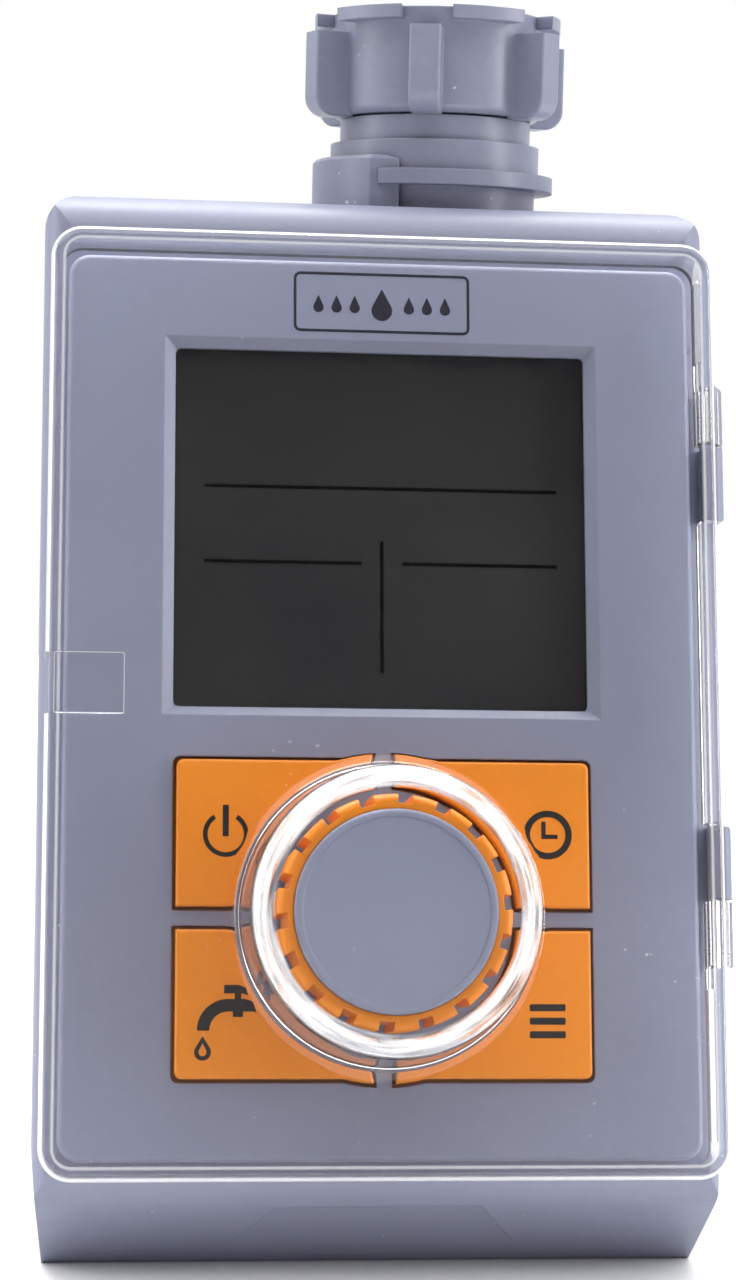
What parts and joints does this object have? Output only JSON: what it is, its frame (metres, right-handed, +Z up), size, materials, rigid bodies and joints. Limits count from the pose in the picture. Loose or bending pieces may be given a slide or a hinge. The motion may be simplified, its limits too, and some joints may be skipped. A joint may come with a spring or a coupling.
{
  "type": "drip irrigation timer",
  "caption": "Battery irrigation timer: wedge case, slanted panel with display, dial and buttons under a hinged clear lid, winged tap nut above, hose outlet below.",
  "frame": {"origin": "centre of the hose outlet's mouth, on the plane that the case stands on", "axes": "+Z up along the water path to the tap nut, -Y towards the user (panel side), +X to the user's right"},
  "size_m": [0.0975, 0.0942, 0.18],
  "materials": {
    "case_grey": "satin",
    "clear": "polished",
    "orange": "satin",
    "cap_grey": "satin",
    "nut_grey": "satin",
    "lcd_dark": "polished",
    "lens": "polished",
    "inner_plastic": "moulded",
    "valve_plastic": "satin",
    "board_green": "lacquered",
    "chip_black": "matt",
    "steel": "bright",
    "contact_metal": "nickel plated",
    "rubber_black": "matt",
    "rubber_red": "matt",
    "filter_plastic": "moulded",
    "winding": "enamelled",
    "cell_wrap": "printed",
    "lead_red": "smooth"
  },
  "bodies": {
    "case": {"front_housing": "case_grey", "rear_housing": "case_grey", "housing_gasket": "rubber_black", "housing_screws": "steel", "display_window": "lens", "lcd_panel": "lcd_dark", "lcd_holder": "inner_plastic", "zebra_strip": "rubber_black", "main_board": "board_green", "board_chips": "chip_black", "board_screws": "steel", "tact_switches": "chip_black", "encoder_body": "steel", "shaft_seal": "rubber_black", "encoder_nut": "steel", "lid_hinge_pins": "steel", "inlet_washer": "rubber_black", "inlet_filter": "filter_plastic", "valve_body": "valve_plastic", "outlet_seal": "rubber_black", "diaphragm": "rubber_red", "valve_bonnet": "inner_plastic", "bonnet_screws": "steel", "solenoid_coil": "winding", "solenoid_yoke": "steel", "battery_holder": "inner_plastic", "batteries": "cell_wrap", "battery_contacts": "contact_metal", "battery_leads": "lead_red", "solenoid_leads": "lead_red"},
    "lid": {"clear_lid": "clear"},
    "knob": {"knob": "orange", "knob_cap": "cap_grey", "encoder_shaft": "steel"},
    "button_power": {"button_power": "orange"},
    "button_clock": {"button_clock": "orange"},
    "button_tap": {"button_tap": "orange"},
    "button_menu": {"button_menu": "orange"},
    "inlet_nut": {"inlet_nut": "nut_grey"},
    "battery_door": {"battery_door": "case_grey", "battery_door_seal": "rubber_black"},
    "plunger": {"plunger": "steel", "plunger_spring": "steel"}
  },
  "joints": [
    {"name": "lid_hinge", "type": "hinge", "parent": "case", "child": "lid", "pos_m": [0.0368, -0.04322, 0.07971], "axis": [0, 0.2419, 0.9703], "range_deg": [0, 170]},
    {"name": "knob_turn", "type": "hinge", "parent": "case", "child": "knob", "pos_m": [-0.011, -0.05138, 0.05031], "axis": [0, -0.9703, 0.2419], "continuous": true},
    {"name": "power_press", "type": "slide", "parent": "case", "child": "button_power", "axis": [0, 0.9703, -0.2419], "range_m": [0, 0.001], "stiffness_N_per_m": 400, "springref_m": -0.0005},
    {"name": "clock_press", "type": "slide", "parent": "case", "child": "button_clock", "axis": [0, 0.9703, -0.2419], "range_m": [0, 0.001], "stiffness_N_per_m": 400, "springref_m": -0.0005},
    {"name": "tap_press", "type": "slide", "parent": "case", "child": "button_tap", "axis": [0, 0.9703, -0.2419], "range_m": [0, 0.001], "stiffness_N_per_m": 400, "springref_m": -0.0005},
    {"name": "menu_press", "type": "slide", "parent": "case", "child": "button_menu", "axis": [0, 0.9703, -0.2419], "range_m": [0, 0.001], "stiffness_N_per_m": 400, "springref_m": -0.0005},
    {"name": "nut_swivel", "type": "hinge", "parent": "case", "child": "inlet_nut", "pos_m": [0, 0, 0.168], "axis": [0, 0, 1], "continuous": true},
    {"name": "door_pull", "type": "slide", "parent": "case", "child": "battery_door", "axis": [0, 1, 0], "range_m": [0, 0.03]},
    {"name": "plunger_lift", "type": "slide", "parent": "case", "child": "plunger", "axis": [0, 0, 1], "range_m": [0, 0.002], "stiffness_N_per_m": 300, "springref_m": -0.001, "deforming": ["plunger_spring"]}
  ]
}
